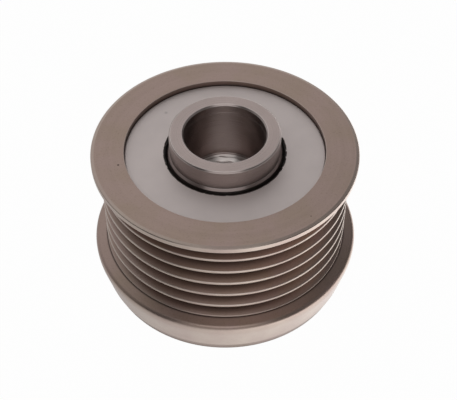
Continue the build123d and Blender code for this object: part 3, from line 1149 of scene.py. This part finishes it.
@dataclass
class Studio:
    """The pale floor, the soft lamp, the surrounding light and the camera.

    The walls are greys at equal steps round the object, from the front over the left, the back and
    the right. The front one keeps its grey up to a fixed angle to each side, and ends there sharply.
    """

    softboxes: tuple[Softbox, ...]
    aim: tuple[float, float, float] = (0.715, 0.0, 17.624)
    camera_distance: float = 231.338
    camera_elevation: float = 46.783
    lens: float = 84.173
    floor_half: float = 4000.0
    floor_colour: str = "#F4F3F1"
    glow_seen: float = 0.98
    glow_in_gloss: float = 0.92
    gloss_span: tuple[float, float] = (0.70, 1.90)
    gloss_reach: tuple[float, float] = (-30.0, 50.0)
    # Reach of the painted contact shadow in the white seen in gloss.
    contact: float = 1.2
    walls: tuple[float, ...] = (0.56, 0.05, 0.32, 0.67, 0.80, 0.14, 0.24, 0.12)
    front_half: float = 36.0
    front_border: float = 3.0
    ceiling: float = 0.23
    ceiling_rise: tuple[float, float] = (0.92, 0.995)

    def build(self) -> None:
        """Sets the floor, the surrounding light, the lamps and the camera."""
        self.build_floor()
        self.build_world()
        for softbox in self.softboxes:
            softbox.build(np.array(self.aim))
        self.build_camera()
        settings = bpy.context.scene.view_settings
        settings.view_transform = "Standard"

    def build_floor(self) -> None:
        """Lays a flat square whose paper shows white to the camera and in gloss, and keeps a shadow."""
        reach = self.floor_half * MM
        mesh = bpy.data.meshes.new("floor_paper")
        corners = [(-reach, -reach, 0), (reach, -reach, 0), (reach, reach, 0), (-reach, reach, 0)]
        mesh.from_pydata(corners, [], [(0, 1, 2, 3)])
        material = bpy.data.materials.new("white_paper_sweep")
        tree = empty_tree(material)
        paper = add_node(tree, "ShaderNodeBsdfDiffuse", {"Color": linear(self.floor_colour)})
        path = add_node(tree, "ShaderNodeLightPath")
        gloss = add_node(tree, "ShaderNodeMath", {
            0: path.outputs["Is Glossy Ray"], 1: path.outputs["Is Transmission Ray"],
        }, operation="ADD")
        share = self.seen_share(tree, path, gloss.outputs[0])
        strength = self.white_strength(tree, gloss.outputs[0])
        glow = add_node(tree, "ShaderNodeEmission", {"Color": linear("#FFFFFF"), "Strength": strength})
        mix = add_node(tree, "ShaderNodeMixShader", {0: share, 1: paper.outputs[0], 2: glow.outputs[0]})
        add_node(tree, "ShaderNodeOutputMaterial", {"Surface": mix.outputs[0]})
        mesh.materials.append(material)
        add_object("floor_paper", mesh)

    def seen_share(
        self, tree: bpy.types.NodeTree, path: bpy.types.Node, gloss: bpy.types.NodeSocket
    ) -> bpy.types.NodeSocket:
        """Adds the share of the paper's own white: large to the camera and in gloss, less at the rim's foot,
        where an ambient occlusion paints a contact shadow into the white seen in gloss.

        Args:
            tree: The material's node tree.
            path: The light path node.
            gloss: 1 for a reflected or transmitted ray, otherwise 0.

        Returns:
            The share, from 0 to 1.
        """
        # Ambient occlusion paints a contact shadow into the white seen in gloss.
        near = add_node(tree, "ShaderNodeAmbientOcclusion", {"Distance": self.contact * MM}, samples=8)
        mirrored = add_node(tree, "ShaderNodeMath", {0: gloss, 1: self.glow_in_gloss}, operation="MULTIPLY")
        open_part = add_node(tree, "ShaderNodeMath", {
            0: mirrored.outputs[0], 1: near.outputs["AO"],
        }, operation="MULTIPLY")
        seen = add_node(tree, "ShaderNodeMath", {
            0: path.outputs["Is Camera Ray"], 1: self.glow_seen, 2: open_part.outputs[0],
        }, operation="MULTIPLY_ADD")
        return seen.outputs[0]

    def white_strength(self, tree: bpy.types.NodeTree, gloss: bpy.types.NodeSocket) -> bpy.types.NodeSocket:
        """Adds the strength of the white: 1 to the camera, and in gloss growing from left to right.

        Args:
            tree: The material's node tree.
            gloss: 1 for a reflected or transmitted ray, otherwise 0.

        Returns:
            The strength.
        """
        place = add_node(tree, "ShaderNodeTexCoord").outputs["Object"]
        across = add_node(tree, "ShaderNodeSeparateXYZ", {0: place})
        left, right = self.gloss_reach
        dark, bright = self.gloss_span
        extra = add_node(tree, "ShaderNodeMapRange", {
            "Value": across.outputs["X"], "From Min": left * MM, "From Max": right * MM,
            "To Min": dark - 1, "To Max": bright - 1,
        })
        strength = add_node(tree, "ShaderNodeMath", {
            0: extra.outputs[0], 1: gloss, 2: 1.0,
        }, operation="MULTIPLY_ADD")
        return strength.outputs[0]

    def build_world(self) -> None:
        """Makes a grey room, with a light of sharp sides in front, under a grey ceiling."""
        world = bpy.data.worlds.new("studio_surround")
        tree = empty_tree(world)
        direction = add_node(tree, "ShaderNodeTexCoord").outputs["Generated"]
        parts = add_node(tree, "ShaderNodeSeparateXYZ", {0: direction})
        heading = add_node(tree, "ShaderNodeMath", {
            0: parts.outputs["X"], 1: parts.outputs["Y"],
        }, operation="ARCTAN2")
        turn = add_node(tree, "ShaderNodeMath", {
            0: heading.outputs[0], 1: 1 / TURN, 2: 0.5,
        }, operation="MULTIPLY_ADD")
        walls = add_node(tree, "ShaderNodeValToRGB", {0: turn.outputs[0]})
        walls.color_ramp.interpolation = "EASE"
        stops = walls.color_ramp.elements
        for index in range(1, len(self.walls)):
            stops.new(index / len(self.walls))
        for stop, level in zip(stops, (*self.walls, self.walls[0])):
            stop.color = (level, level, level, 1.0)
        inner, outer = self.front_half - self.front_border, self.front_half + self.front_border
        for side, beside in ((-1, self.walls[-1]), (1, self.walls[1])):
            for angle, level in ((inner, self.walls[0]), (outer, beside)):
                stop = stops.new((side * angle / 360) % 1)
                stop.color = (level, level, level, 1.0)
        start, full = self.ceiling_rise
        rise = add_node(tree, "ShaderNodeMapRange", {
            "Value": parts.outputs["Z"], "From Min": start, "From Max": full,
        }, interpolation_type="SMOOTHSTEP")
        top = (self.ceiling, self.ceiling, self.ceiling, 1.0)
        room = add_node(tree, "ShaderNodeMix", {
            0: rise.outputs[0], 6: walls.outputs[0], 7: top,
        }, data_type="RGBA")
        light = add_node(tree, "ShaderNodeBackground", {"Color": room.outputs[2], "Strength": 1.0})
        add_node(tree, "ShaderNodeOutputWorld", {"Surface": light.outputs[0]})
        bpy.context.scene.world = world

    def build_camera(self) -> None:
        """Puts the camera where the photograph was taken, level and without shift."""
        camera = bpy.data.cameras.new("photo_camera")
        camera.lens = self.lens
        camera.sensor_width = 36.0
        camera.clip_start = 0.01
        camera.clip_end = 100.0
        viewer = add_object("photo_camera", camera)
        rise = math.radians(self.camera_elevation)
        aim = np.array(self.aim)
        place = aim + self.camera_distance * np.array([0.0, -math.cos(rise), math.sin(rise)])
        viewer.location = [float(v) * MM for v in place]
        viewer.rotation_euler = aim_rotation(place, aim)
        bpy.context.scene.camera = viewer


def main() -> None:
    """Builds the sub-assemblies from the outside in, then the studio."""
    logging.basicConfig(level=logging.INFO, format="%(name)s: %(message)s")
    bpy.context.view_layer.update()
    turned = TurnedSteel(
        "phosphated_turned_steel", "#A69189", 0.34,
        marks=((-21.6, -5.24, 33.54, 0.28), (16.67, -19.23, 33.54, 0.17)),
    )
    ground = GroundSteel("ground_hub_steel", "#B3A4A0", 0.30)
    coated = CoatedSheet("zinc_coated_sheet_steel", "#E6DBD8", 0.6, smudges=((-12.64, 11.81, 32.34, 0.5),))
    rubber = GrainyPolymer("nitrile_seal_rubber", "#282321", 0.55)
    bearing = GroundSteel("ground_bearing_steel", "#C8C6C4", 0.2, dark="#A7A5A2").material()
    nylon = GrainyPolymer("glass_filled_nylon", "#2B2622", 0.45, grain=0.25, bloom="#4A443E").material()
    strip = GroundSteel("spring_steel_strip", "#C4C6CA", 0.22, dark="#A2A4A8").material()
    PulleySleeve(turned).build()
    Hub(ground).build()
    SealPlate(Side.REAR, coated, rubber, hole_r=12.56, bottom=31.44, shaft_r=11.8).build()
    SealPlate(Side.FRONT, coated, rubber, hole_r=13.7, bottom=4.0, shaft_r=12.9).build()
    SupportBearing(Side.REAR, bearing, nylon).build()
    SupportBearing(Side.FRONT, bearing, nylon).build()
    OneWayClutch(bearing, nylon, strip).build()
    overhead = Softbox("overhead_softbox", (0.0, -190.0, 420.0), width=300.0, height=220.0, watts=0.13)
    Studio((overhead,)).build()


if __name__ == "__main__":
    main()
